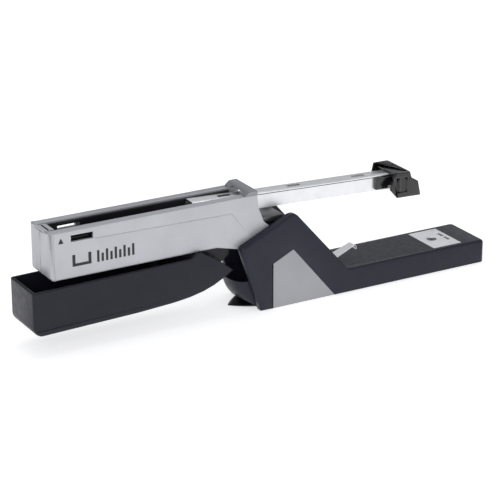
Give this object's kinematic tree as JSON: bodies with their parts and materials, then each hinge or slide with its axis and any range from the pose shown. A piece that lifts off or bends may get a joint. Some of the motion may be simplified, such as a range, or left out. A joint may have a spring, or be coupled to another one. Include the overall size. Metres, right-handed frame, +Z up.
{
  "type": "stapler",
  "caption": "Desktop stapler lying open: head and handle folded back on the hinge, staple rail drawn out over a base with an anvil plate.",
  "frame": {"origin": "on the surface the stapler stands on, straight under the hinge pin, mid-width", "axes": "+X along the base from the hinge towards the anvil, +Y to the left, +Z up; the head and handle point along -X at rest"},
  "size_m": [0.391, 0.0456, 0.0942],
  "materials": {
    "base_black": "satin",
    "panel_grey": "satin painted",
    "rubber_black": "matte",
    "heel_black": "gloss",
    "plate_steel": "zinc plated",
    "anvil_steel": "satin nickel plated",
    "spring_steel": "bright",
    "dark_steel": "blackened",
    "fastener_steel": "zinc plated",
    "rail_chrome": "bright",
    "head_silver": "silver painted, satin",
    "collar_grey": "satin",
    "channel_black": "satin",
    "handle_black": "satin",
    "insert_black": "satin",
    "cap_black": "semi-gloss"
  },
  "bodies": {
    "base": {"base_frame": "base_black", "side_panel_left": "panel_grey", "side_panel_right": "panel_grey", "rear_cover": "base_black", "ballast_plate": "plate_steel", "sole": "rubber_black", "heel_foot": "heel_black", "base_screws": "fastener_steel", "anvil_plate": "anvil_steel", "anvil_screw": "dark_steel", "leaf_spring": "spring_steel", "leaf_rivets": "fastener_steel", "hinge_pin": "fastener_steel"},
    "head": {"head_shell_left": "head_silver", "head_shell_right": "head_silver", "shell_screws": "fastener_steel", "nose_plate": "rail_chrome", "staple_channel": "channel_black", "rear_collar": "collar_grey", "hinge_bracket": "dark_steel", "handle_mount": "insert_black", "handle_pin": "fastener_steel", "lever_pin": "fastener_steel", "power_spring": "spring_steel"},
    "lever": {"lever": "plate_steel"},
    "striker": {"striker": "spring_steel"},
    "handle": {"handle_shell": "handle_black", "handle_pusher": "insert_black"},
    "rail": {"feed_rail": "rail_chrome", "end_cap": "cap_black", "latch_block": "cap_black", "latch_spring_left": "spring_steel", "latch_spring_right": "spring_steel", "pusher_spring": "spring_steel"},
    "button_left": {"latch_button_left": "cap_black"},
    "button_right": {"latch_button_right": "cap_black"},
    "pusher": {"pusher": "plate_steel"}
  },
  "joints": [
    {"name": "head_hinge", "type": "hinge", "parent": "base", "child": "head", "pos_m": [0, 0, 0.0549], "axis": [0, 1, 0], "range_deg": [0, 18]},
    {"name": "handle_pivot", "type": "hinge", "parent": "head", "child": "handle", "pos_m": [-0.05, 0, 0.047], "axis": [0, 1, 0], "range_deg": [0, 8], "stiffness_Nm_per_rad": 4},
    {"name": "lever_pivot", "type": "hinge", "parent": "head", "child": "lever", "pos_m": [-0.11, 0, 0.058], "axis": [0, 1, 0], "range_deg": [-14.6, 0]},
    {"name": "striker_slide", "type": "slide", "parent": "head", "child": "striker", "axis": [0, 0, 1], "range_m": [-0.016, 0], "deforming": ["power_spring"]},
    {"name": "rail_slide", "type": "slide", "parent": "head", "child": "rail", "axis": [1, 0, 0], "range_m": [-0.114, 0]},
    {"name": "latch_left", "type": "slide", "parent": "rail", "child": "button_left", "axis": [0, -1, 0], "range_m": [0, 0.0012], "stiffness_N_per_m": 600, "springref_m": -0.0002, "deforming": ["latch_spring_left"]},
    {"name": "latch_right", "type": "slide", "parent": "rail", "child": "button_right", "axis": [0, 1, 0], "range_m": [0, 0.0012], "stiffness_N_per_m": 600, "springref_m": -0.0002, "deforming": ["latch_spring_right"]},
    {"name": "pusher_slide", "type": "slide", "parent": "rail", "child": "pusher", "axis": [0.9991, 0, -0.0419], "range_m": [0, 0.1], "stiffness_N_per_m": 25, "springref_m": -0.01, "deforming": ["pusher_spring"]}
  ],
  "couplings": [
    {"joint": "lever_pivot", "follows": "handle_pivot", "ratio": -1.79},
    {"joint": "striker_slide", "follows": "handle_pivot", "m_per_rad": -0.1132}
  ]
}
